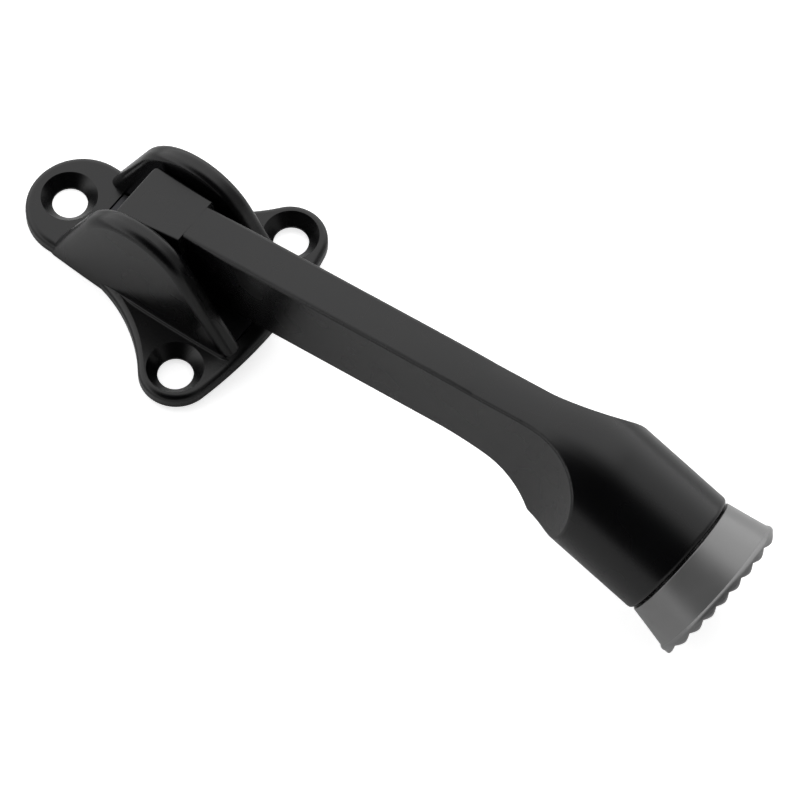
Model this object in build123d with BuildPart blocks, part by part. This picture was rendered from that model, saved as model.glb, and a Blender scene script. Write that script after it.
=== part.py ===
from build123d import *
import math
import os

# Kick-down door holder: a cast bracket that screws to the face of a door, a hinged
# arm held by a leaf spring, and a rubber foot plugged into the end of the arm.
# Millimetres. z = 0 is the door face, +z points away from the door, +x runs along
# the lowered arm, and y is the hinge axis direction. x = 0 is the line of the two
# paired screw holes. The arm is drawn lowered, as it rests on its spring.

# Plate
plate_t = 2.3
lug_y = 14.5
lug_r = 5.85
lug_inset = 0.3
lone_x = -31.6
tongue_back = 6.3
neck_half = 8.6
concave_r = 25.0
front_x = 7.35
plate_edge_r = 1.0
screw_d = 5.5
sink_d = 8.8
sink_angle = 82.0

# Cheeks on either side of the hinge
pivot_x = -11.8
pivot_rise = 7.7
cheek_r = 10.95
back_foot_x = -28.1
front_foot_x = 5.8
slot_half = 5.5
cheek_proud = 0.12
cheek_mid_half = 9.37
cheek_front_half = 8.87
cheek_mid_x = -8.0
cheek_draft = 1.6
cheek_outer_r = 1.4
cheek_inner_r = 1.1
cheek_end_run = 0.45

# Arm
arm_angle = 8.1
head_side_gap = 0.35
head_back = 5.1
head_front = 6.4
head_top = 8.05
heel_r = 5.8
shank_half = 3.35
arm_edge_r = 0.6
bend_at = 69.8
bend_angle = 30.0
bend_top_r = 24.0
bend_under_r = 36.0
boss_r = 10.55
boss_len = 26.5
flare_before = 4.0
flare_after = 11.2
under_tuck = 0.6
boss_rim_r = 0.8
head_edge_r = 0.4
head_corner_r = 0.8
head_taper = 0.85
crown_end = 60.0
crown_r = 140.0

# Hinge pin and leaf spring
pin_d = 4.76
pin_running = 0.05
pin_fit = 0.02
pin_blind_skin = 1.2
pin_end_inset = 0.15
spring_t = 0.7
spring_back_x = -25.0
spring_front_x = 4.6
spring_side_gap = 0.25
spring_end_gap = 0.25
spring_sink = 0.1
spring_heel_gap = 0.05

# Rubber foot
socket_d = 12.0
socket_depth = 14.0
stem_gap = 0.05
stem_end_gap = 1.0
foot_root_r = 10.05
foot_rim_r = 11.9
foot_len = 7.1
foot_lip = 1.2
foot_turn = 23.8
rib_pitch = 2.72
rib_shift = -0.82
rib_w = 2.3
rib_h = 1.2
rib_count = 9

# Positions that follow from the sizes above
pivot_z = plate_t + pivot_rise
head_half = slot_half - head_side_gap
head_front_half = head_half - head_taper
shank_under = heel_r
ca = math.cos(math.radians(arm_angle))
sa = math.sin(math.radians(arm_angle))
boss_dir = arm_angle - bend_angle
cb = math.cos(math.radians(boss_dir))
sb = math.sin(math.radians(boss_dir))
shank_mid = (head_top - shank_under) / 2


# Point in the xz plane, measured from the pivot along and across the shank.
def arm_pt(along, across):
    return (pivot_x + along * ca - across * sa, pivot_z + along * sa + across * ca)


bend_x, bend_z = arm_pt(bend_at, shank_mid)


# Point in the xz plane, measured from the bend along and across the boss axis.
def boss_pt(along, across):
    return (bend_x + along * cb - across * sb, bend_z + along * sb + across * cb)


# Where the line through p with direction a crosses the line through q with direction b.
def meet(p, a, q, b):
    den = a[0] * b[1] - a[1] * b[0]
    t = ((q[0] - p[0]) * b[1] - (q[1] - p[1]) * b[0]) / den
    return (p[0] + t * a[0], p[1] + t * a[1])


# Point where a line from (px, pz) touches the cheek circle round the pivot.
def tangent_from(px, pz, side):
    dx = px - pivot_x
    dz = pz - pivot_z
    dist = math.hypot(dx, dz)
    turn = math.acos(cheek_r / dist) * side
    ang = math.atan2(dz, dx) + turn
    return (pivot_x + cheek_r * math.cos(ang), pivot_z + cheek_r * math.sin(ang))


# A sketch plane whose local x is world x and local y is world z; it faces -y.
side = Plane(origin=(0, 0, 0), x_dir=(1, 0, 0), z_dir=(0, -1, 0))
boss_end = boss_pt(boss_len, 0)
boss_axis = Plane(origin=(boss_end[0], 0, boss_end[1]), x_dir=(0, 1, 0), z_dir=(cb, 0, sb))

# Plate outline: a round tongue, straight neck, hollow sides, two lugs and a bowed front.
tongue_x = lone_x - tongue_back + neck_half
lug_cy = lug_y - lug_inset
hollow_y = neck_half + concave_r
hollow_x = -math.sqrt((concave_r + lug_r) ** 2 - (hollow_y - lug_cy) ** 2)
front_r = (front_x ** 2 + lug_cy ** 2 - lug_r ** 2) / (2 * (front_x - lug_r))
front_cx = front_x - front_r
to_hollow = math.atan2(hollow_y - lug_cy, hollow_x)
to_front = math.atan2(lug_cy, -front_cx)
hollow_pt = (lug_r * math.cos(to_hollow), lug_cy + lug_r * math.sin(to_hollow))
front_pt = (lug_r * math.cos(to_front), lug_cy + lug_r * math.sin(to_front))
half_turn = (to_hollow + to_front) / 2
lug_mid = (lug_r * math.cos(half_turn), lug_cy + lug_r * math.sin(half_turn))
hollow_mid_a = (-math.pi / 2 + (to_hollow - math.pi)) / 2
hollow_mid = (
    hollow_x + concave_r * math.cos(hollow_mid_a),
    hollow_y + concave_r * math.sin(hollow_mid_a),
)


# Mirror a plan point in the xz plane.
def flip(p):
    return (p[0], -p[1])


with BuildPart() as plate:
    with BuildSketch(Plane.XY):
        with BuildLine():
            ThreePointArc((tongue_x, -neck_half), (tongue_x - neck_half, 0), (tongue_x, neck_half))
            Line((tongue_x, neck_half), (hollow_x, neck_half))
            ThreePointArc((hollow_x, neck_half), hollow_mid, hollow_pt)
            ThreePointArc(hollow_pt, lug_mid, front_pt)
            ThreePointArc(front_pt, (front_x, 0), flip(front_pt))
            ThreePointArc(flip(front_pt), flip(lug_mid), flip(hollow_pt))
            ThreePointArc(flip(hollow_pt), flip(hollow_mid), (hollow_x, -neck_half))
            Line((hollow_x, -neck_half), (tongue_x, -neck_half))
        make_face()
    extrude(amount=plate_t)
    fillet(plate.faces().sort_by(Axis.Z)[-1].edges(), radius=plate_edge_r)

# Cheeks: a rounded triangle seen from the side, with slightly bowed and drafted outer walls.
foot_z = plate_t
back_touch = tangent_from(back_foot_x, foot_z, -1)
front_touch = tangent_from(front_foot_x, foot_z, 1)
root_z = 0.0
cheek_back_half = neck_half + cheek_proud


# Carry a cheek's sloping edge on down to the root level inside the plate.
def run_down(touch, foot_x):
    return (foot_x + (foot_x - touch[0]) * (foot_z - root_z) / (touch[1] - foot_z), root_z)


back_root = run_down(back_touch, back_foot_x)
front_root = run_down(front_touch, front_foot_x)


# Plan of the cheeks' outer walls, drawn in by a draft allowance.
def wall_plan(inset):
    back = (back_foot_x - cheek_end_run, cheek_back_half - inset)
    mid = (cheek_mid_x, cheek_mid_half - inset)
    front = (front_foot_x + cheek_end_run, cheek_front_half - inset)
    ThreePointArc(back, mid, front)
    Line(front, flip(front))
    ThreePointArc(flip(front), flip(mid), flip(back))
    Line(flip(back), back)


wall_rise = pivot_z + cheek_r
with BuildPart() as walls:
    with BuildSketch(Plane.XY):
        with BuildLine():
            wall_plan(0)
        make_face()
    with BuildSketch(Plane.XY.offset(wall_rise)):
        with BuildLine():
            wall_plan(wall_rise * math.tan(math.radians(cheek_draft)))
        make_face()
    loft(ruled=True)

with BuildPart() as cheeks:
    with BuildSketch(side):
        with BuildLine():
            Line(back_root, back_touch)
            ThreePointArc(back_touch, (pivot_x, pivot_z + cheek_r), front_touch)
            Line(front_touch, front_root)
            Line(front_root, back_root)
        make_face()
    extrude(amount=2 * lug_y, both=True)
    add(walls.part, mode=Mode.INTERSECT)
    with BuildSketch(Plane.XY):
        Rectangle(12 * cheek_r, 2 * slot_half)
    extrude(amount=2 * wall_rise, mode=Mode.SUBTRACT)
    upper = cheeks.edges().filter_by(lambda e: e.center().Z > root_z + 1)
    wall_mid = (slot_half + cheek_mid_half) / 2
    fillet(upper.filter_by(lambda e: abs(e.center().Y) > wall_mid + 0.4), radius=cheek_outer_r)
    upper = cheeks.edges().filter_by(lambda e: e.center().Z > root_z + 1)
    fillet(upper.filter_by(lambda e: abs(abs(e.center().Y) - slot_half) < 0.01), radius=cheek_inner_r)

with BuildPart() as bracket:
    add(plate.part)
    add(cheeks.part)
    # Countersunk screw holes
    with Locations((0, lug_y, plate_t), (0, -lug_y, plate_t), (lone_x, 0, plate_t)):
        CounterSinkHole(screw_d / 2, sink_d / 2, depth=plate_t, counter_sink_angle=sink_angle)
    # Shallow seat for the leaf spring in the floor of the slot
    seat_x = (spring_back_x + spring_front_x) / 2
    seat_len = spring_front_x - spring_back_x + 2 * spring_end_gap
    with BuildSketch(Plane.XY.offset(plate_t - spring_t - spring_sink)):
        with Locations((seat_x, 0)):
            Rectangle(seat_len, 2 * slot_half)
    extrude(amount=spring_t + spring_sink, mode=Mode.SUBTRACT)
    # Pin bore: right through the far cheek, blind in the near one
    bore_near = -(cheek_mid_half - pin_blind_skin)
    with BuildSketch(Plane(origin=(pivot_x, bore_near, pivot_z), x_dir=(1, 0, 0), z_dir=(0, 1, 0))):
        Circle(pin_d / 2 + pin_fit)
    extrude(amount=3 * lug_y, mode=Mode.SUBTRACT)

# Arm: head block, shank with a crown that grows towards the bend, and a round boss.
tube_turn = meet(arm_pt(0, head_top - boss_r), (ca, sa), boss_pt(0, 0), (cb, sb))
tube_start = arm_pt(crown_end, head_top - boss_r)
under_in = boss_pt(0, under_tuck - boss_r)
under_out = boss_pt(2 * boss_len, under_tuck - boss_r - 2 * boss_len * under_tuck / flare_after)
under_way = (under_out[0] - under_in[0], under_out[1] - under_in[1])
under_turn = meet(arm_pt(0, -shank_under), (ca, sa), under_in, under_way)
flare_len = flare_before + flare_after
flare_rise = boss_r - shank_half
flare_r = (flare_len ** 2 + flare_rise ** 2) / (2 * flare_rise)
flare_a = math.asin(flare_len / flare_r) / 2
flare_mid = (
    flare_r * math.sin(flare_a) - flare_before,
    shank_half + flare_r * (1 - math.cos(flare_a)),
)
flare_back = -2 * boss_r
plan = Plane(origin=(bend_x, 0, bend_z), x_dir=(cb, 0, sb), z_dir=(-sb, 0, cb))


# The sketch corner nearest to point p of its own plane.
def near_vertex(sketch, p):
    return sketch.vertices().sort_by_distance(Vector(p[0], p[1], 0))[0]


# A plane square to the shank, level with a circle whose top touches the arm's top line.
def square_to_shank(along, radius):
    centre = arm_pt(along, head_top - radius)
    return Plane(origin=(centre[0], 0, centre[1]), x_dir=(0, 1, 0), z_dir=(ca, 0, sa))


# Side outline of everything above the arm's underside, turning into the boss.
def above_underside(start):
    Polyline(
        arm_pt(start, -shank_under),
        under_turn,
        under_out,
        boss_pt(2 * boss_len, 2 * boss_r),
        arm_pt(start, 3 * boss_r),
        close=True,
    )


# The boss: a round bar bent to the arm's top line, trimmed by its flare and its underside.
with BuildPart() as boss:
    with BuildLine(side):
        FilletPolyline(tube_start, tube_turn, boss_end, radius=bend_top_r - boss_r)
    with BuildSketch(square_to_shank(crown_end, boss_r)):
        Circle(boss_r)
    sweep()
    with BuildSketch(plan):
        with BuildLine():
            Line((flare_back, shank_half), (-flare_before, shank_half))
            ThreePointArc((-flare_before, shank_half), flare_mid, (flare_after, boss_r))
            Line((flare_after, boss_r), (flare_after, 2 * boss_r))
            Line((flare_after, 2 * boss_r), (2 * boss_len, 2 * boss_r))
            Line((2 * boss_len, 2 * boss_r), (2 * boss_len, -2 * boss_r))
            Line((2 * boss_len, -2 * boss_r), (flare_after, -2 * boss_r))
            Line((flare_after, -2 * boss_r), (flare_after, -boss_r))
            ThreePointArc((flare_after, -boss_r), flip(flare_mid), (-flare_before, -shank_half))
            Line((-flare_before, -shank_half), (flare_back, -shank_half))
            Line((flare_back, -shank_half), (flare_back, shank_half))
        make_face()
    extrude(amount=4 * boss_r, both=True, mode=Mode.INTERSECT)
    with BuildSketch(side) as under_trim:
        with BuildLine():
            above_underside(0)
        make_face()
        fillet(near_vertex(under_trim, under_turn), radius=bend_under_r)
    extrude(amount=2 * boss_r, both=True, mode=Mode.INTERSECT)
    fillet(boss.edges().filter_by(GeomType.CIRCLE).sort_by(Axis.X)[-1], radius=boss_rim_r)

# The shank: constant width, nearly flat on top at the head and as round as the boss at the bend.
with BuildPart() as crown:
    with BuildSketch(square_to_shank(0, crown_r)):
        Circle(crown_r)
    with BuildSketch(square_to_shank(crown_end, boss_r)):
        Circle(boss_r)
    loft(ruled=True)

with BuildPart() as blade:
    with BuildSketch(side) as under_line:
        with BuildLine():
            above_underside(0)
        make_face()
        fillet(near_vertex(under_line, under_turn), radius=bend_under_r)
    extrude(amount=shank_half, both=True)
    add(crown.part, mode=Mode.INTERSECT)

heel_drop = math.sqrt(heel_r ** 2 - head_back ** 2)
heel_a = (math.atan2(heel_drop, head_back) + math.pi / 2) / 2
heel_mid = arm_pt(-heel_r * math.cos(heel_a), -heel_r * math.sin(heel_a))
head_plan = Plane(origin=(pivot_x, 0, pivot_z), x_dir=(ca, 0, sa), z_dir=(-sa, 0, ca))
head_up = Axis(head_plan.origin, head_plan.z_dir)
with BuildPart() as head:
    with BuildSketch(side):
        with BuildLine():
            Line(arm_pt(-head_back, -heel_drop), arm_pt(-head_back, head_top))
            Line(arm_pt(-head_back, head_top), arm_pt(head_front, head_top))
            Line(arm_pt(head_front, head_top), arm_pt(head_front, -shank_under))
            Line(arm_pt(head_front, -shank_under), arm_pt(0, -heel_r))
            ThreePointArc(arm_pt(0, -heel_r), heel_mid, arm_pt(-head_back, -heel_drop))
        make_face()
    extrude(amount=head_half, both=True)
    # Plan of the head: narrower in front, round at its back corners
    with BuildSketch(head_plan) as wedge:
        with BuildLine():
            Polyline(
                (-head_back, -head_half),
                (head_front, -head_front_half),
                (head_front, head_front_half),
                (-head_back, head_half),
                close=True,
            )
        make_face()
        back_corners = [near_vertex(wedge, (-head_back, y)) for y in (-head_half, head_half)]
        fillet(back_corners, radius=head_corner_r)
    extrude(amount=2 * head_top, both=True, mode=Mode.INTERSECT)
    # Softened rim of the head's top, open towards the shank
    top_face = head.faces().sort_by(head_up)[-1]
    front_rim = arm_pt(head_front, head_top)
    front_edge = top_face.edges().sort_by_distance((front_rim[0], 0, front_rim[1]))[0]
    fillet([e for e in top_face.edges() if e != front_edge], radius=head_edge_r)


# How far an edge's middle lies above the arm's centre line, round the bend too.
def across_of(e):
    c = e.center()
    along = (c.X - pivot_x) * ca + (c.Z - pivot_z) * sa
    if along < bend_at:
        return (c.Z - pivot_z) * ca - (c.X - pivot_x) * sa - shank_mid
    return (c.Z - bend_z) * cb - (c.X - bend_x) * sb


# Edges along the two sides of the blade and of the swelling boss.
def on_flank(e):
    return shank_half - 0.01 < abs(e.center().Y) < boss_r - 0.01


side_by_side = heel_r / 4
with BuildPart() as arm:
    add(boss.part)
    add(blade.part)
    # Soft edges along the shank and the tongues that run out on the boss
    flank = arm.edges().filter_by(on_flank)
    fillet(flank.filter_by(lambda e: across_of(e) > side_by_side), radius=arm_edge_r)
    add(head.part)
    # Socket for the foot's stem
    with BuildSketch(boss_axis):
        Circle(socket_d / 2)
    extrude(amount=-socket_depth, mode=Mode.SUBTRACT)
    # Pivot bore
    with BuildSketch(Plane(origin=(pivot_x, 0, pivot_z), x_dir=(1, 0, 0), z_dir=(0, 1, 0))):
        Circle(pin_d / 2 + pin_running)
    extrude(amount=2 * head_half, both=True, mode=Mode.SUBTRACT)

# Hinge pin, seated blind in one cheek and just below the surface of the other
pin_near = bore_near + pin_fit
wall_at_pivot = cheek_mid_half - pivot_z * math.tan(math.radians(cheek_draft))
pin_far = wall_at_pivot - pin_end_inset
with BuildPart() as pivot_pin:
    with BuildSketch(Plane(origin=(pivot_x, pin_near, pivot_z), x_dir=(1, 0, 0), z_dir=(0, 1, 0))):
        Circle(pin_d / 2)
    extrude(amount=pin_far - pin_near)
    chamfer(pivot_pin.edges().filter_by(GeomType.CIRCLE), length=pin_d / 16)

# Leaf spring: flat strip arched up from the floor of the slot to the heel of the arm
rest_z = plate_t - spring_t - spring_sink
crest_z = pivot_z - heel_r - spring_heel_gap - spring_t
arch = crest_z - rest_z


# Middle of an arc that leaves the crest level and drops by the arch over the span.
def arch_mid(span, lift):
    r = (span ** 2 + arch ** 2) / (2 * arch)
    a = math.asin(span / r) / 2
    return (r * math.sin(a), crest_z + lift - r * (1 - math.cos(a)))


back_span = pivot_x - spring_back_x
front_span = spring_front_x - pivot_x
back_low = arch_mid(back_span, 0)
back_high = arch_mid(back_span, spring_t)
front_low = arch_mid(front_span, 0)
front_high = arch_mid(front_span, spring_t)
with BuildPart() as leaf_spring:
    with BuildSketch(side):
        with BuildLine():
            ThreePointArc(
                (spring_back_x, rest_z),
                (pivot_x - back_low[0], back_low[1]),
                (pivot_x, crest_z),
            )
            ThreePointArc(
                (pivot_x, crest_z),
                (pivot_x + front_low[0], front_low[1]),
                (spring_front_x, rest_z),
            )
            Line((spring_front_x, rest_z), (spring_front_x, rest_z + spring_t))
            ThreePointArc(
                (spring_front_x, rest_z + spring_t),
                (pivot_x + front_high[0], front_high[1]),
                (pivot_x, crest_z + spring_t),
            )
            ThreePointArc(
                (pivot_x, crest_z + spring_t),
                (pivot_x - back_high[0], back_high[1]),
                (spring_back_x, rest_z + spring_t),
            )
            Line((spring_back_x, rest_z + spring_t), (spring_back_x, rest_z))
        make_face()
    extrude(amount=slot_half - spring_side_gap, both=True)

# Rubber foot: stem, flared skirt with a rolled lip, and ribs across the sole
stem_r = socket_d / 2 - stem_gap
stem_len = socket_depth - stem_end_gap
foot_side = Plane(origin=boss_axis.origin, x_dir=(cb, 0, sb), z_dir=(0, -1, 0))
with BuildPart() as rubber_foot:
    with BuildSketch(foot_side) as skirt:
        with BuildLine():
            Polyline(
                (-stem_len, 0),
                (-stem_len, stem_r - 1),
                (1 - stem_len, stem_r),
                (0, stem_r),
                (0, foot_root_r),
                (foot_len - foot_lip, foot_rim_r),
                (foot_len, foot_rim_r),
                (foot_len, 0),
                close=True,
            )
        make_face()
        chamfer(near_vertex(skirt, (0, foot_root_r)), length=foot_lip / 4)
        fillet(near_vertex(skirt, (foot_len - foot_lip, foot_rim_r)), radius=foot_lip * 2)
        chamfer(near_vertex(skirt, (foot_len, foot_rim_r)), length=foot_lip / 4)
    revolve(axis=Axis(boss_axis.origin, boss_axis.z_dir))

rib_r = rib_w / 2
rib_root = foot_len - rib_h / 4
rib_peak = foot_len + rib_h - rib_r
rib_rows = [(i - (rib_count - 1) / 2) * rib_pitch + rib_shift for i in range(rib_count)]
turned = math.radians(foot_turn)
along_ribs = boss_axis.x_dir * -math.sin(turned) + boss_axis.y_dir * math.cos(turned)
rib_face = Plane(origin=boss_axis.origin, x_dir=boss_axis.z_dir, z_dir=along_ribs)
with BuildPart() as ribs:
    with BuildSketch(rib_face):
        with Locations(*[((rib_root + rib_peak) / 2, row) for row in rib_rows]):
            Rectangle(rib_peak - rib_root, rib_w)
        with Locations(*[(rib_peak, row) for row in rib_rows]):
            Circle(rib_r)
    extrude(amount=foot_rim_r, both=True)
    with BuildSketch(boss_axis):
        Circle(foot_rim_r - foot_lip / 8)
    extrude(amount=2 * foot_len, mode=Mode.INTERSECT)

with BuildPart() as rubber_tip:
    add(rubber_foot.part)
    add(ribs.part)

os.makedirs("parts", exist_ok=True)
bracket.part.label = "bracket"
arm.part.label = "arm"
pivot_pin.part.label = "pivot_pin"
leaf_spring.part.label = "leaf_spring"
rubber_tip.part.label = "rubber_tip"
export_step(bracket.part, "parts/bracket.step")
export_step(arm.part, "parts/arm.step")
export_step(pivot_pin.part, "parts/pivot_pin.step")
export_step(leaf_spring.part, "parts/leaf_spring.step")
export_step(rubber_tip.part, "parts/rubber_tip.step")
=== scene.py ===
import math
import bmesh
import bpy
import numpy as np
from mathutils import Matrix, Vector


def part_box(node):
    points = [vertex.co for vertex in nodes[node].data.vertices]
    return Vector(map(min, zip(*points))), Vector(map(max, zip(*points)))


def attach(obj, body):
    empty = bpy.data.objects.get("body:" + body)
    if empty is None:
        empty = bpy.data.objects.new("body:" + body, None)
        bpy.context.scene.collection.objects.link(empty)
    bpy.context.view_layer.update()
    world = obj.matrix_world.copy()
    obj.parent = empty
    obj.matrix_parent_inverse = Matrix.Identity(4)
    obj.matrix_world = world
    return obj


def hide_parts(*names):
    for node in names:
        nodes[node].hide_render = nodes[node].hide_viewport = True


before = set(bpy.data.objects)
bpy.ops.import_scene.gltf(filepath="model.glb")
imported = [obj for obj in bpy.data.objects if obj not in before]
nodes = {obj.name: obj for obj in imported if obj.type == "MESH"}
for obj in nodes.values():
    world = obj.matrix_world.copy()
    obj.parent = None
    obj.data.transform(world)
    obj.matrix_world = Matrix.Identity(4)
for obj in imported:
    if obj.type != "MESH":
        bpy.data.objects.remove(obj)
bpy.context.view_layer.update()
scene = bpy.context.scene
print("frame loaded:", sorted(nodes))

mm = 0.001
weld = dict(mergeMm=0.0002, emptyMm=0.0001, sharpDegrees=40.0)


# sRGB hex to linear: below 0.04045 divide by 12.92, above it the 2.4 power curve
def hexColour(code):
    srgb = np.array([int(code[i:i + 2], 16) / 255 for i in (1, 3, 5)])
    low = srgb / 12.92
    high = ((srgb + 0.055) / 1.055) ** 2.4
    return (*np.where(srgb <= 0.04045, low, high).tolist(), 1.0)


# one node: its type, what is set on it, its socket values and the sockets that feed it
def addNode(tree, kind, props=None, values=None, links=None):
    node = tree.nodes.new(kind)
    for name, value in (props or {}).items():
        setattr(node, name, value)
    for socket, value in (values or {}).items():
        node.inputs[socket].default_value = value
    for socket, source in (links or {}).items():
        tree.links.new(source, node.inputs[socket])
    return node


# noise in object coordinates: scale is one over the size of a patch
def addNoise(tree, coords, sizeMm, detail):
    noise = addNode(tree, "ShaderNodeTexNoise",
                    values={"Scale": 1 / (sizeMm * mm), "Detail": detail},
                    links={"Vector": coords.outputs["Object"]})
    return noise.outputs["Fac"]


# bump of a height in mm, on top of an earlier bump where there is one
def addBump(tree, strength, heightMm, height, under=None):
    links = {"Height": height}
    if under is not None:
        links["Normal"] = under
    bump = addNode(tree, "ShaderNodeBump",
                   values={"Strength": strength, "Distance": heightMm * mm}, links=links)
    return bump.outputs["Normal"]


# a pattern from 0 to 1 becomes roughness: the middle value less the swing to the middle plus it
def addRoughness(tree, look, pattern):
    rough = addNode(tree, "ShaderNodeMapRange", values={
        "To Min": look["roughness"] - look["swing"],
        "To Max": look["roughness"] + look["swing"]}, links={"Value": pattern})
    return rough.outputs["Result"]


# blend from the dark to the light colour; a colour mix has inputs 6 and 7 and output 2
def addTint(tree, look, pattern):
    tint = addNode(tree, "ShaderNodeMix", {"data_type": "RGBA"}, {
        6: hexColour(look["dark"]), 7: hexColour(look["light"])}, {0: pattern})
    return tint.outputs[2]


def addSurface(tree, values, links):
    shader = addNode(tree, "ShaderNodeBsdfPrincipled", values=values, links=links)
    addNode(tree, "ShaderNodeOutputMaterial", links={"Surface": shader.outputs[0]})


def newMaterial(name):
    material = bpy.data.materials.new(name)
    material.use_nodes = True
    material.node_tree.nodes.clear()
    return material, material.node_tree


def dress(obj, material):
    obj.data.materials.clear()
    obj.data.materials.append(material)


# rows by columns of points to quads: each cell joins a point to its right and lower neighbours
def gridFaces(rows, columns, start=0, wrap=False):
    index = np.arange(rows * columns).reshape(rows, columns) + start
    if wrap:
        index = np.column_stack((index, index[:, :1]))
    here, right = index[:-1, :-1], index[:-1, 1:]
    below, diagonal = index[1:, :-1], index[1:, 1:]
    return np.stack((here, right, diagonal, below), axis=-1).reshape(-1, 4)


# points in mm and quads become one closed mesh: doubles merged, empty faces dropped,
# faces turned outwards
def makePiece(name, points, faces, body, material):
    mesh = bpy.data.meshes.new(name)
    mesh.from_pydata((points * mm).tolist(), [], faces.tolist())
    shell = bmesh.new()
    shell.from_mesh(mesh)
    bmesh.ops.remove_doubles(shell, verts=shell.verts, dist=weld["mergeMm"] * mm)
    bmesh.ops.dissolve_degenerate(shell, edges=shell.edges, dist=weld["emptyMm"] * mm)
    bmesh.ops.recalc_face_normals(shell, faces=shell.faces)
    shell.to_mesh(mesh)
    openEdges = sum(not edge.is_manifold for edge in shell.edges)
    shell.free()
    mesh.polygons.foreach_set("use_smooth", np.ones(len(mesh.polygons), dtype=bool))
    mesh.set_sharp_from_angle(angle=math.radians(weld["sharpDegrees"]))
    obj = bpy.data.objects.new(name, mesh)
    scene.collection.objects.link(obj)
    dress(obj, material)
    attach(obj, body)
    print(name, len(mesh.polygons), "faces, open edges", openEdges)
    return obj


# the photograph's camera: looks down at 60 degrees, 36 degrees round from the arm's side
camera = dict(azimuth=36.332, elevation=60.004, focalPixels=5150.0, imagePixels=800,
              sensorMm=36.0, nearMetres=0.05, aim=(0.0, 0.0, 2.3),
              right=25.25, up=-15.07, away=780.3)
turn = math.radians(camera["azimuth"])
lift = math.radians(camera["elevation"])
rightAxis = Vector((math.cos(turn), math.sin(turn), 0))
backAxis = Vector((math.sin(turn) * math.cos(lift), -math.cos(turn) * math.cos(lift),
                   math.sin(lift)))
upAxis = backAxis.cross(rightAxis)
cameraData = bpy.data.cameras.new("photoCamera")
cameraData.sensor_width = camera["sensorMm"]
cameraData.lens = camera["sensorMm"] * camera["focalPixels"] / camera["imagePixels"]
cameraData.clip_start = camera["nearMetres"]
cameraObj = bpy.data.objects.new("photoCamera", cameraData)
scene.collection.objects.link(cameraObj)
place = (Vector(camera["aim"]) + camera["right"] * rightAxis + camera["up"] * upAxis
         + camera["away"] * backAxis) * mm
cameraObj.matrix_world = Matrix.Translation(place) @ Matrix(
    (rightAxis, upAxis, backAxis)).transposed().to_4x4()
scene.camera = cameraObj
print("camera at", [round(c, 4) for c in place])

# floor under the plate's back edge and the rubber tip, so the part rests on both
floorSize = dict(halfMetres=4.0, gapMm=0.02)
tipMesh = nodes["rubber_tip"].data
tipCo = np.empty(len(tipMesh.vertices) * 3)
tipMesh.vertices.foreach_get("co", tipCo)
tipCo = tipCo.reshape(-1, 3)
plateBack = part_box("bracket")[0].x
# slope of the lowest line from the plate's back edge under every point of the tip
slope = float(np.min(tipCo[:, 2] / (tipCo[:, 0] - plateBack)))
corner = np.array([(-1, -1), (1, -1), (1, 1), (-1, 1)]) * floorSize["halfMetres"]
height = slope * (corner[:, 0] - plateBack) - floorSize["gapMm"] * mm
floorMesh = bpy.data.meshes.new("floor")
floorMesh.from_pydata(np.column_stack((corner, height)).tolist(), [], [(0, 1, 2, 3)])
floor = bpy.data.objects.new("floor", floorMesh)
scene.collection.objects.link(floor)
print("floor slope", round(math.degrees(math.atan(slope)), 2), "degrees")

# matt white acrylic table, lit a little from below so that the ground stays white
table = dict(colour="#e2e2e2", roughness=0.9, specular=0.1, glow=0.75)
material, tree = newMaterial("whiteLightTable")
path = addNode(tree, "ShaderNodeLightPath")
glowLevel = addNode(tree, "ShaderNodeMath", {"operation": "MULTIPLY"}, {1: table["glow"]},
                    {0: path.outputs["Is Camera Ray"]})
addSurface(tree, {
    "Base Color": hexColour(table["colour"]), "Roughness": table["roughness"],
    "Specular IOR Level": table["specular"], "Emission Color": (1, 1, 1, 1)},
    {"Emission Strength": glowLevel.outputs[0]})
dress(floor, material)

# white tent all round, with a dark opening on the side where the photographer stands and a
# dim end past the rubber tip. Each opening gives its middle's azimuth and elevation, the angle
# from the middle to which it is full, the angle where it ends, and its share of the white
tent = dict(white=2.2, openings=(
    dict(azimuth=28.0, elevation=43.0, full=29.0, end=65.0, share=0.01),
    dict(azimuth=105.0, elevation=12.0, full=22.0, end=62.0, share=0.25)))
world = bpy.data.worlds.new("lightTent")
scene.world = world
world.use_nodes = True
tree = world.node_tree
tree.nodes.clear()
coords = addNode(tree, "ShaderNodeTexCoord")
path = addNode(tree, "ShaderNodeLightPath")
level = None
for opening in tent["openings"]:
    around, above, full, end = (math.radians(opening[name])
                                for name in ("azimuth", "elevation", "full", "end"))
    middle = (math.sin(around) * math.cos(above), -math.cos(around) * math.cos(above),
              math.sin(above))
    facing = addNode(tree, "ShaderNodeVectorMath", {"operation": "DOT_PRODUCT"}, {1: middle},
                     {0: coords.outputs["Generated"]})
    dimmed = addNode(tree, "ShaderNodeMapRange", {"interpolation_type": "SMOOTHSTEP"}, {
        "From Min": math.cos(end), "From Max": math.cos(full),
        "To Min": 1.0, "To Max": opening["share"]}, {"Value": facing.outputs["Value"]})
    # the first opening multiplies the tent's white, each later one the level so far
    links = {0: dimmed.outputs["Result"]}
    if level is not None:
        links[1] = level
    level = addNode(tree, "ShaderNodeMath", {"operation": "MULTIPLY"}, {1: tent["white"]},
                    links).outputs[0]
# plain white behind the part; a number mix has inputs 2 and 3 and output 0
seen = addNode(tree, "ShaderNodeMix", {"data_type": "FLOAT"}, {3: 1.0},
               {0: path.outputs["Is Camera Ray"], 2: level})
glow = addNode(tree, "ShaderNodeBackground", links={"Strength": seen.outputs[0]})
addNode(tree, "ShaderNodeOutputWorld", links={"Surface": glow.outputs[0]})
scene.view_settings.view_transform = "Standard"
print("light tent ready")

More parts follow.
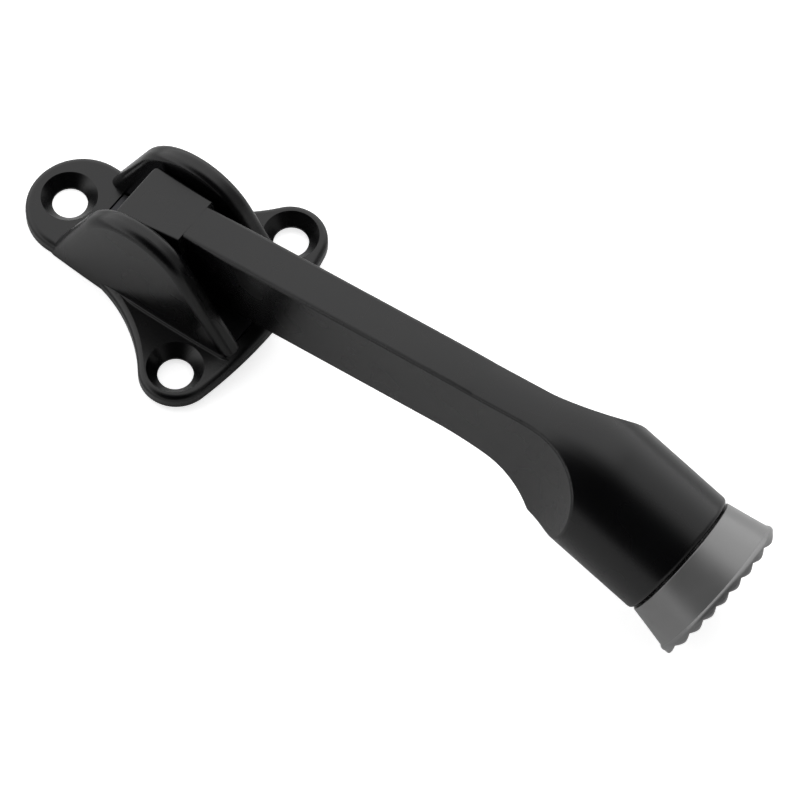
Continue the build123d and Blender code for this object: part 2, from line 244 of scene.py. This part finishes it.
# satin black powder coat over a casting: near-black, soft sheen, faint orange peel,
# slow casting waves under it and a few dust specks baked into it
coat = dict(colour="#060607", roughness=0.27, swing=0.04, specular=0.36,
            peelMm=0.45, peelDetail=2.0, peelStrength=0.10, peelHeightMm=0.03,
            waveMm=7.0, waveDetail=1.0, waveStrength=0.10, waveHeightMm=0.2,
            speckMm=1.6, speckShare=0.07, speckStrength=0.25, speckHeightMm=0.02)
coatMaterial, tree = newMaterial("satinBlackPowderCoat")
coords = addNode(tree, "ShaderNodeTexCoord")
peel = addNoise(tree, coords, coat["peelMm"], coat["peelDetail"])
wave = addNoise(tree, coords, coat["waveMm"], coat["waveDetail"])
speck = addNode(tree, "ShaderNodeTexVoronoi", values={"Scale": 1 / (coat["speckMm"] * mm)},
                links={"Vector": coords.outputs["Object"]})
# a speck is high at its cell's point and flat past a small share of the cell
speckTop = addNode(tree, "ShaderNodeMapRange", {"interpolation_type": "SMOOTHSTEP"},
                   {"From Min": 0.0, "From Max": coat["speckShare"], "To Min": 1.0, "To Max": 0.0},
                   {"Value": speck.outputs["Distance"]})
bump = addBump(tree, coat["waveStrength"], coat["waveHeightMm"], wave)
bump = addBump(tree, coat["peelStrength"], coat["peelHeightMm"], peel, bump)
bump = addBump(tree, coat["speckStrength"], coat["speckHeightMm"],
               speckTop.outputs["Result"], bump)
addSurface(tree, {"Base Color": hexColour(coat["colour"]), "Specular IOR Level": coat["specular"]},
           {"Roughness": addRoughness(tree, coat, wave), "Normal": bump})
for name in ("bracket", "arm"):
    dress(nodes[name], coatMaterial)

# blued spring steel strip: dark thin oxide in light and dark drifts, fine lengthwise rolling lines
strip = dict(dark="#232325", light="#3a3a3c", roughness=0.36, swing=0.08,
             lineMm=0.18, lineLengthMm=14.0, lineDetail=3.0, lineStrength=0.15, lineHeightMm=0.01,
             driftMm=5.0, driftDetail=2.0)
stripMaterial, tree = newMaterial("bluedSpringSteel")
coords = addNode(tree, "ShaderNodeTexCoord")
# lines are noise drawn out along X: one over the line's length, its width and its length
alongLine = 1 / (strip["lineLengthMm"] * mm)
acrossLine = 1 / (strip["lineMm"] * mm)
stretch = addNode(tree, "ShaderNodeMapping", values={"Scale": (alongLine, acrossLine, alongLine)},
                  links={"Vector": coords.outputs["Object"]})
lines = addNode(tree, "ShaderNodeTexNoise", values={"Scale": 1.0, "Detail": strip["lineDetail"]},
                links={"Vector": stretch.outputs["Vector"]}).outputs["Fac"]
drift = addNoise(tree, coords, strip["driftMm"], strip["driftDetail"])
addSurface(tree, {"Metallic": 1.0}, {
    "Base Color": addTint(tree, strip, drift), "Roughness": addRoughness(tree, strip, lines),
    "Normal": addBump(tree, strip["lineStrength"], strip["lineHeightMm"], lines)})
dress(nodes["leaf_spring"], stripMaterial)

# blackened drawn steel pin: faint turning rings on its end, from the sine of the distance to
# the pin's centre line
pin = dict(colour="#131314", roughness=0.3, ringMm=0.25, ringStrength=0.2, ringHeightMm=0.01)
pinCentre = sum(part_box("pivot_pin"), Vector()) / 2
pinMaterial, tree = newMaterial("blackenedDrawnSteel")
coords = addNode(tree, "ShaderNodeTexCoord")
centred = addNode(tree, "ShaderNodeMapping", values={"Location": tuple(-pinCentre)},
                  links={"Vector": coords.outputs["Object"]})
flat = addNode(tree, "ShaderNodeVectorMath", {"operation": "MULTIPLY"}, {1: (1, 0, 1)},
               {0: centred.outputs["Vector"]})
radius = addNode(tree, "ShaderNodeVectorMath", {"operation": "LENGTH"},
                 links={0: flat.outputs["Vector"]})
ringAngle = addNode(tree, "ShaderNodeMath", {"operation": "MULTIPLY"},
                    {1: 2 * math.pi / (pin["ringMm"] * mm)}, {0: radius.outputs["Value"]})
ring = addNode(tree, "ShaderNodeMath", {"operation": "SINE"}, links={0: ringAngle.outputs[0]})
addSurface(tree, {"Base Color": hexColour(pin["colour"]), "Metallic": 1.0,
                  "Roughness": pin["roughness"]},
           {"Normal": addBump(tree, pin["ringStrength"], pin["ringHeightMm"], ring.outputs[0])})
dress(nodes["pivot_pin"], pinMaterial)

# moulded grey rubber: satin skin from a polished mould, faint cloudy mottling and fine grain
rubber = dict(dark="#545454", light="#606060", roughness=0.34, swing=0.05, specular=1.0,
              skin=0.7, skinRoughness=0.3, cloudMm=3.5, cloudDetail=3.0,
              grainMm=0.22, grainDetail=2.0, grainStrength=0.12, grainHeightMm=0.02)
rubberMaterial, tree = newMaterial("greyMouldedRubber")
coords = addNode(tree, "ShaderNodeTexCoord")
cloud = addNoise(tree, coords, rubber["cloudMm"], rubber["cloudDetail"])
grain = addNoise(tree, coords, rubber["grainMm"], rubber["grainDetail"])
addSurface(tree, {
    "Specular IOR Level": rubber["specular"], "Coat Weight": rubber["skin"],
    "Coat Roughness": rubber["skinRoughness"]}, {
    "Base Color": addTint(tree, rubber, cloud), "Roughness": addRoughness(tree, rubber, cloud),
    "Normal": addBump(tree, rubber["grainStrength"], rubber["grainHeightMm"], grain)})
print("finishes done")

# rubber foot on the boss's end, in mm: necked root, flared skirt, rolled rim and a sole of
# wavy ribs; the counts are points along each curve
foot = dict(endX=81.732, endZ=11.064, tiltDegrees=-21.9, turnDegrees=23.8,
            stemRadius=5.95, stemLength=13.0, stemChamfer=1.0, neckRadius=8.2, neckLength=0.25,
            rootRadius=10.3, rootRound=0.2, rootEndDegrees=100.0, rootCount=7,
            hollow=0.02, skirtCount=31, rimRadius=11.9, rimCount=121,
            rollAt=7.3, rollRadius=0.7, rollStartDegrees=145.0, rollEndDegrees=60.0, rollCount=17,
            ribPitch=2.72, ribShift=-0.82, ribCount=9, ribHeight=0.57, ribPower=1.7,
            ribEndRound=0.9, acrossCount=25, alongCount=65, valleyHeight=0.08,
            stepDigits=3, stepGap=0.002)


# arc from one angle to another round a centre, as pairs of distance along the axis and radius
def arcPoints(centreS, centreR, radius, startDegrees, endDegrees, count):
    t = np.radians(np.linspace(startDegrees, endDegrees, count))
    return np.column_stack((centreS + radius * np.cos(t), centreR + radius * np.sin(t)))


# shares from -1 to 1 that close up towards both ends: sine of even steps of angle
def closingShares(count):
    return np.sin(np.radians(np.linspace(-90, 90, count)))


tilt = math.radians(foot["tiltDegrees"])
spin = math.radians(foot["turnDegrees"])
footOrigin = np.array((foot["endX"], 0, foot["endZ"]))
footAlong = np.array((math.cos(tilt), 0, math.sin(tilt)))
footSide = np.array((0, 1, 0))
footUp = np.cross(footAlong, footSide)
# across runs square to the ribs and beside runs along them, both in the plane of the sole
across = math.cos(spin) * footSide + math.sin(spin) * footUp
beside = math.cos(spin) * footUp - math.sin(spin) * footSide
rollArc = arcPoints(foot["rollAt"], foot["rimRadius"] - foot["rollRadius"], foot["rollRadius"],
                    foot["rollStartDegrees"], foot["rollEndDegrees"], foot["rollCount"])
soleAt, soleRadius = rollArc[-1]
# rib middles: whole pitches from the middle rib, all shifted
ribNumbers = np.arange(foot["ribCount"]) - (foot["ribCount"] - 1) / 2
ribCentres = ribNumbers * foot["ribPitch"] + foot["ribShift"]


# points of the foot from distance along its axis, across the ribs and along the ribs
def footPoints(alongAxis, acrossRibs, alongRibs):
    return (footOrigin + alongAxis[..., None] * footAlong + acrossRibs[..., None] * across
            + alongRibs[..., None] * beside).reshape(-1, 3)


# rise of the sole at m across the ribs: valley height plus rib height times one less a power of
# the share of half a pitch from the nearest rib's middle, so that neighbours meet in a valley
def ribRise(m):
    share = np.min(np.abs(m[..., None] - ribCentres), axis=-1) / (foot["ribPitch"] / 2)
    return foot["valleyHeight"] + foot["ribHeight"] * (1 - np.clip(share, 0, 1) ** foot["ribPower"])


# places across the ribs: even steps in angle round the rim, and steps that close up towards
# each valley
shareSteps = closingShares(foot["acrossCount"]) * foot["ribPitch"] / 2
ribSteps = (ribCentres[:, None] + shareSteps[None, :]).ravel()
evenSteps = soleRadius * np.cos(np.radians(np.linspace(180, 0, foot["rimCount"])))
steps = np.unique(np.round(np.concatenate((ribSteps, evenSteps)), foot["stepDigits"]))
inner = steps[np.abs(steps) < soleRadius - foot["stepGap"]]
steps = np.concatenate(([-soleRadius], inner, [soleRadius]))
rimAngle = np.arccos(steps / soleRadius)

# sole: across by steps, along each rib from rim to rim; the rib's end falls to the rim as a
# quarter round
halfChord = np.sqrt(np.maximum(soleRadius ** 2 - steps ** 2, 0))
alongShare = closingShares(foot["alongCount"])
gridM = np.repeat(steps[:, None], len(alongShare), axis=1)
gridN = halfChord[:, None] * alongShare[None, :]
endShare = np.clip(1 - (halfChord[:, None] - np.abs(gridN)) / foot["ribEndRound"], 0, 1)
solePoints = footPoints(soleAt + ribRise(gridM) * np.sqrt(1 - endShare ** 2), gridM, gridN)
soleFaces = gridFaces(len(steps), len(alongShare))

# skirt profile: stem, neck, root edge, skirt that widens in a straight line less a hollow,
# rolled rim
rootAt = foot["neckLength"] + foot["rootRound"]
rootArc = arcPoints(rootAt, foot["rootRadius"] - foot["rootRound"], foot["rootRound"],
                    180, foot["rootEndDegrees"], foot["rootCount"])
share = np.linspace(0, 1, foot["skirtCount"])[1:-1, None]
skirt = rootArc[-1] + (rollArc[0] - rootArc[-1]) * share
skirt[:, 1:] -= foot["hollow"] * np.sin(np.pi * share)
stemEnd = -foot["stemLength"]
stem = np.array(((stemEnd, 0), (stemEnd, foot["stemRadius"] - foot["stemChamfer"]),
                 (stemEnd + foot["stemChamfer"], foot["stemRadius"]), (0, foot["stemRadius"]),
                 (0, foot["neckRadius"]), (foot["neckLength"], foot["neckRadius"])))
profile = np.vstack((stem, rootArc, skirt, rollArc))
# skirt columns stand at the same rim angles as the ends of the sole's rows, up one side and
# down the other
columnAngle = np.concatenate((rimAngle, -rimAngle[::-1][1:-1]))
skirtPoints = footPoints(np.repeat(profile[:, :1], len(columnAngle), axis=1),
                         profile[:, 1:] * np.cos(columnAngle), profile[:, 1:] * np.sin(columnAngle))
skirtFaces = gridFaces(len(profile), len(columnAngle), len(solePoints), wrap=True)
rubberFoot = makePiece("rubberFoot", np.vstack((solePoints, skirtPoints)),
                       np.vstack((soleFaces, skirtFaces)), "lever", rubberMaterial)
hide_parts("rubber_tip")

# casting fillet where each cheek's outer wall meets the plate, in mm: a hollow quarter round
# that grows and dies away; the wall's plan is an arc through its back, middle and front points
root = dict(startX=-15.6, endX=5.9, radius=0.5, growMm=4.0, fadeMm=1.2, sink=0.12, plateTop=2.3,
            back=(-28.55, 8.72), middle=(-8.0, 9.37), front=(6.25, 8.87), draftDegrees=1.6,
            lengthCount=81, arcCount=13)


# circle through three plan points: centre and radius from the perpendicular bisectors
def circleThrough(p, q, r):
    m = 2 * np.array((np.subtract(q, p), np.subtract(r, p)))
    v = np.array((np.dot(q, q) - np.dot(p, p), np.dot(r, r) - np.dot(p, p)))
    centre = np.linalg.solve(m, v)
    return centre, float(np.hypot(*np.subtract(p, centre)))


# smooth step from 0 to 1: three squares less two cubes
def smoothStep(x):
    x = np.clip(x, 0, 1)
    return x ** 2 * (3 - 2 * x)


wallCentre, wallRadius = circleThrough(root["back"], root["middle"], root["front"])
rootX = np.linspace(root["startX"], root["endX"], root["lengthCount"])
# size along the root: rises from nothing over growMm and falls to nothing over fadeMm
size = (root["radius"] * smoothStep((rootX - root["startX"]) / root["growMm"])
        * smoothStep((root["endX"] - rootX) / root["fadeMm"]))
# the drafted wall leans in by the draft's slope times the height of the plate's top
draftSlope = math.tan(math.radians(root["draftDegrees"]))
wallY = (wallCentre[1] + np.sqrt(wallRadius ** 2 - (rootX - wallCentre[0]) ** 2)
         - root["plateTop"] * draftSlope)
curve = np.radians(np.linspace(0, 90, root["arcCount"]))
# section: hollow arc from up the wall to out on the plate, closed by a corner sunk in both
sunk = np.full_like(size, -root["sink"])
outward = size[:, None] * (1 - np.sin(curve))[None, ::-1]
upward = size[:, None] * (1 - np.cos(curve))[None, ::-1]
outward = np.column_stack((outward - upward * draftSlope, size, sunk, sunk))
upward = np.column_stack((upward, sunk, sunk, size))
columns = outward.shape[1]
faces = gridFaces(len(rootX), columns, wrap=True)
# each end is a fan of triangles from the section's first point
rim = np.arange(columns)
firstEnd = np.column_stack((np.zeros(columns - 2, int), rim[1:-1], rim[2:], rim[2:]))
lastEnd = firstEnd + (len(rootX) - 1) * columns
for name, hand in (("nearRootFillet", -1), ("farRootFillet", 1)):
    points = np.stack((np.repeat(rootX[:, None], columns, axis=1),
                       hand * (wallY[:, None] + outward), root["plateTop"] + upward), axis=-1)
    makePiece(name, points.reshape(-1, 3), np.vstack((faces, firstEnd, lastEnd)),
              "base", coatMaterial)
print("pieces done")
